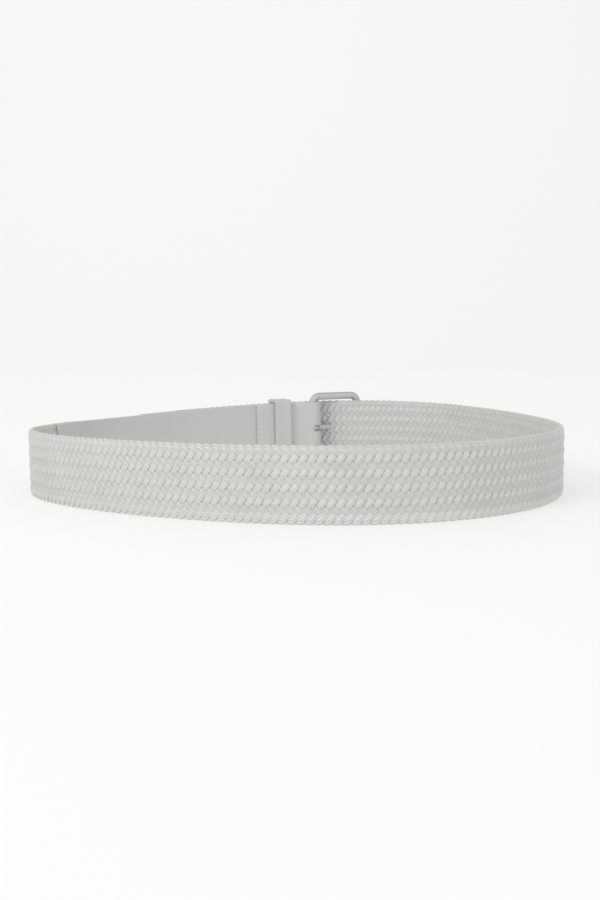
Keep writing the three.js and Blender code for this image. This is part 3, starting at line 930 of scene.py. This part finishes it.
class BELT_OT_stage(bpy.types.Operator):
    """Make the camera, the floor and the lights"""

    bl_idname = "belt.make_stage"
    bl_label = "Stage"

    def execute(self, context):
        settings = context.scene.belt_stage
        scene = context.scene
        scene.view_settings.view_transform = "Standard"
        self.camera(scene, settings)
        self.floor(scene, settings)
        self.lights(scene, settings)
        return {"FINISHED"}

    def camera(self, scene, settings):
        """A camera with the photo's view. The picture's long side has the sensor's width."""
        data = bpy.data.cameras.new("camera")
        data.lens, data.sensor_width = 40.0, 36.0
        camera = bpy.data.objects.new("camera", data)
        raised = Matrix.Rotation(math.radians(90 - CAMERA_DOWN), 4, "X")
        turned = raised @ Matrix.Rotation(math.radians(CAMERA_ROLL), 4, "Z")
        place = Vector((CAMERA_SIDE, -settings.camera_distance, settings.camera_height))
        camera.matrix_world = Matrix.Translation(place) @ turned
        scene.collection.objects.link(camera)
        scene.camera = camera

    def floor(self, scene, settings):
        """A floor that curves up into a backdrop: level, a quarter circle, and upright, carried sideways."""
        front, reach, radius, wall, half_width = -3.0, 2.0, 1.0, 3.0, 5.0
        angle = np.linspace(0, np.pi / 2, 25)
        y = np.concatenate([[front], reach + radius * np.sin(angle), [reach + radius]])
        z = np.concatenate([[0.0], radius * (1 - np.cos(angle)), [wall]])
        x = np.array([-half_width, half_width])
        points = np.stack([np.broadcast_to(v, (len(y), 2)) for v in (x, y[:, None], z[:, None])], -1)
        faces = 2 * np.arange(len(y) - 1)[:, None] + [0, 1, 3, 2]
        mesh = bpy.data.meshes.new("floor")
        mesh.from_pydata(points.reshape(-1, 3).tolist(), [], faces.tolist())
        mesh.polygons.foreach_set("use_smooth", np.ones(len(faces), bool))
        material, tree, shader = new_material("floor")
        glow = {"Emission Color": WHITE, "Emission Strength": settings.floor_glow}
        finish = {"Base Color": rgba(settings.floor_colour), "Roughness": 0.9, "Specular IOR Level": 0.1}
        fill_inputs(tree, shader, {**finish, **glow})
        mesh.materials.append(material)
        floor = bpy.data.objects.new("floor", mesh)
        scene.collection.objects.link(floor)

    def lights(self, scene, settings):
        """Even light from all round, a soft lamp at the left, a far one at the right and one on the backdrop:
        each lamp's place, the point that it is turned to, its two sides and its power."""
        above_floor = (0, 0, 0.02)
        world = bpy.data.worlds.new("studio")
        world.use_nodes = True
        background = world.node_tree.nodes["Background"]
        fill_inputs(world.node_tree, background, {"Strength": settings.sky, "Color": WHITE})
        scene.world = world
        lamps = (
            ("key", (-0.95, -0.98, 0.8), above_floor, 0.6, 0.6, settings.key_power),
            ("fill", (1.6, -2.5, 0.75), above_floor, 0.9, 0.9, settings.fill_power),
            ("backdrop", (-0.8, 0.9, 1.9), (-0.5, 3, 0.7), 2.0, 0.6, settings.backdrop_power),
        )
        for name, place, target, width, height, power in lamps:
            data = bpy.data.lights.new(name, "AREA")
            data.shape, data.size, data.size_y, data.energy = "RECTANGLE", width, height, power
            lamp = bpy.data.objects.new(name, data)
            aim = (Vector(target) - Vector(place)).to_track_quat("-Z", "Y")
            lamp.matrix_world = Matrix.Translation(place) @ aim.to_matrix().to_4x4()
            scene.collection.objects.link(lamp)


class BELT_OT_braid(bpy.types.Operator):
    """Make the cords of the braid"""

    bl_idname = "belt.make_braid"
    bl_label = "Braid"

    def execute(self, context):
        settings = context.scene.belt_braid
        for number, strands in enumerate(np.array_split(np.arange(STRANDS), BRAID_PIECES), 1):
            name = f"braid_strands_{number}"
            rings, proud = strand_rings(settings, strands)
            mesh = grid_mesh(name, rings, proud=proud)
            add_piece(name, mesh, once("braid_cord", cord_material, settings), "braid", "braid_strap")
        return {"FINISHED"}


class BELT_OT_leather(bpy.types.Operator):
    """Make the leather strap, its leaf and sleeve, and its stitching"""

    bl_idname = "belt.make_leather"
    bl_label = "Leather strap"

    def execute(self, context):
        settings = context.scene.belt_leather
        leather = once("belt_leather", leather_material, settings)
        thread = once("stitching_thread", thread_material, settings)
        route = Route()
        rounding = settings.edge_rounding
        places = ply_places(0, route.length, rounding)
        plan, side, at = route.follow(places)
        spread = sleeve_spread(route.length - places)
        shrink = end_rounding(places, 0, route.length, rounding)
        thin = skived(places)
        low, high = lift(at), lift(at) + LEATHER_WIDTH
        slot = (route.fold_run - SLOT_ON_LEAF, route.fold_run + SLOT_ON_STRAP)
        for hand, name in ((1, "outer"), (-1, "inner")):
            line = plan + side * (hand * (PLY / 2 + spread) - thin * PLY * (1 + hand / 2))[:, None]
            rings = ply_rings(line, side, low, high, shrink, SLOT_COLUMNS, rounding, thin)
            mesh = grid_mesh(f"leather_{name}_ply", rings, holes=slot_holes(places, *slot))
            add_piece(f"leather_{name}_ply", mesh, leather, "leather", "leather_strap")
        rows = []
        for row in LEAF_ROWS_AT:
            leaf_face = -3 * PLY - LEAF_GAP + 2 * PLY * skived(HEEL_BAR_AT + LEAF - row)
            rows += [(row, leaf_face, -1), (row, PLY, 1)]
        add_stitches("strap_stitches", rows + sleeve_rows(JUNCTION_AT, -1), thread, settings)
        return {"FINISHED"}


class BELT_OT_tip(bpy.types.Operator):
    """Make the leather tip, its sleeve and its stitching"""

    bl_idname = "belt.make_tip"
    bl_label = "Leather tip"

    def execute(self, context):
        settings = context.scene.belt_leather
        leather = once("belt_leather", leather_material, settings)
        thread = once("stitching_thread", thread_material, settings)
        rounding = settings.edge_rounding
        end = HEEL_BAR_AT + LOOP_LENGTH + FREE_END
        start = end - TIP_LENGTH
        nose = STRAP_WIDTH / 2
        swing = np.linspace(0, np.pi / 2, 40)[1:]
        straight = ply_places(start, end, rounding)
        places = np.concatenate([straight[straight < end - nose], end - nose + nose * np.sin(swing)])
        # The nose stops a hair short of its end, where it would have no height
        narrow = nose - np.sqrt(nose**2 - np.clip(places - end + nose, 0, nose * NOSE_DRAWN) ** 2)
        spread = sleeve_spread(places - start)
        shrink = end_rounding(places, start, end + rounding * 2, rounding)
        low = lift(places) + narrow
        high = lift(places) + LEATHER_WIDTH - narrow
        for hand, name in ((1, "outer"), (-1, "inner")):
            line = plan_point(places, TIP_OFFSET + hand * (PLY / 2 + spread))
            rings = ply_rings(line, outwards(places), low, high, shrink, PLY_COLUMNS, rounding)
            mesh = grid_mesh(f"tip_{name}_ply", rings)
            add_piece(f"tip_{name}_ply", mesh, leather, "leather", "leather_tip")
        add_stitches("tip_stitches", sleeve_rows(start, 1, TIP_OFFSET), thread, settings)
        return {"FINISHED"}


class BELT_OT_keeper(bpy.types.Operator):
    """Make the keeper loop beside the buckle, which sags by a cosine at its top and bottom"""

    bl_idname = "belt.make_keeper"
    bl_label = "Keeper"

    def execute(self, context):
        settings = context.scene.belt_leather
        inner = -3 * PLY - LEAF_GAP - KEEPER_EASE / 2
        outer = FREE_END_OFFSET + BRAID_THICKNESS / 2 + KEEPER_EASE / 2
        depth = outer - inner + KEEPER_THICKNESS
        height = LEATHER_WIDTH + 2 * KEEPER_EASE + KEEPER_THICKNESS
        corner = KEEPER_CORNER - KEEPER_THICKNESS / 2
        path, directions = rounded_rectangle(depth, height, corner, straight=12, curved=8)
        on_top_or_below = np.abs(directions[:, 1]) > 0.9
        path[:, 1] -= KEEPER_SAG * np.cos(path[:, 0] / depth * np.pi) * np.sign(path[:, 1]) * on_top_or_below
        middle = plan_point(KEEPER_AT, (inner + outer) / 2), lift(KEEPER_AT) + LEATHER_WIDTH / 2
        section = {"thickness": KEEPER_THICKNESS, "width": KEEPER_WIDTH, "power": 7, "hollow": KEEPER_HOLLOW}
        rings = band_rings(path, directions, *middle, outwards(KEEPER_AT), **section)
        mesh = grid_mesh("keeper_loop", rings, looped=True)
        add_piece("keeper_loop", mesh, once("belt_leather", leather_material, settings), "leather", "keeper")
        return {"FINISHED"}


class BELT_OT_buckle(bpy.types.Operator):
    """Make the buckle frame and its prong"""

    bl_idname = "belt.make_buckle"
    bl_label = "Buckle"

    def execute(self, context):
        settings = context.scene.belt_buckle
        metal = once("satin_plating", metal_material, settings)
        width, height = FRAME_LENGTH - BAR_SHOWN, FRAME_HEIGHT - BAR_SHOWN
        corner = FRAME_CORNER - BAR_SHOWN / 2
        path, directions = rounded_rectangle(width, height, corner, straight=14, curved=12)
        middle = (HEEL_BAR + FAR_BAR) / 2, FRAME_HEIGHT / 2
        rings = band_rings(path, directions, *middle, BUCKLE_ALONG, BAR_SHOWN, BAR_DEPTH, power=2.7)
        mesh = grid_mesh("buckle_bars", rings, looped=True)
        add_piece("buckle_bars", mesh, metal, "buckle_metal", "buckle_frame")
        add_piece("buckle_prong", grid_mesh("buckle_prong", prong_rings()), metal, "buckle_metal", "prong")
        return {"FINISHED"}


class BELT_PT_panel(bpy.types.Panel):
    """The belt's parts in the sidebar of the 3D view"""

    bl_idname = "BELT_PT_panel"
    bl_label = "Braided belt"
    bl_space_type = "VIEW_3D"
    bl_region_type = "UI"
    bl_category = "Belt"

    def draw(self, context):
        for name, (_, *operators) in GROUPS.items():
            box = self.layout.box()
            for operator in operators:
                box.operator(operator.bl_idname)
            settings = getattr(context.scene, name)
            for setting in settings.__annotations__:
                box.prop(settings, setting)


GROUPS = {
    "belt_stage": (BeltStageSettings, BELT_OT_stage),
    "belt_braid": (BeltBraidSettings, BELT_OT_braid),
    "belt_leather": (BeltLeatherSettings, BELT_OT_leather, BELT_OT_tip, BELT_OT_keeper),
    "belt_buckle": (BeltBuckleSettings, BELT_OT_buckle),
}
CLASSES = [cls for group in GROUPS.values() for cls in group] + [BELT_PT_panel]


def register():
    """Registers the classes, and keeps the settings with the scene."""
    for cls in CLASSES:
        bpy.utils.register_class(cls)
    for name, (settings, *_) in GROUPS.items():
        setattr(bpy.types.Scene, name, PointerProperty(type=settings))


def unregister():
    """Takes away what register adds."""
    for name in GROUPS:
        delattr(bpy.types.Scene, name)
    for cls in reversed(CLASSES):
        bpy.utils.unregister_class(cls)


def main():
    """Registers the add-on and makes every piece."""
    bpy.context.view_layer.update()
    register()
    bpy.ops.belt.make_stage()
    bpy.ops.belt.make_braid()
    bpy.ops.belt.make_leather()
    bpy.ops.belt.make_tip()
    bpy.ops.belt.make_keeper()
    bpy.ops.belt.make_buckle()
    bpy.context.view_layer.update()


if __name__ == "__main__":
    main()
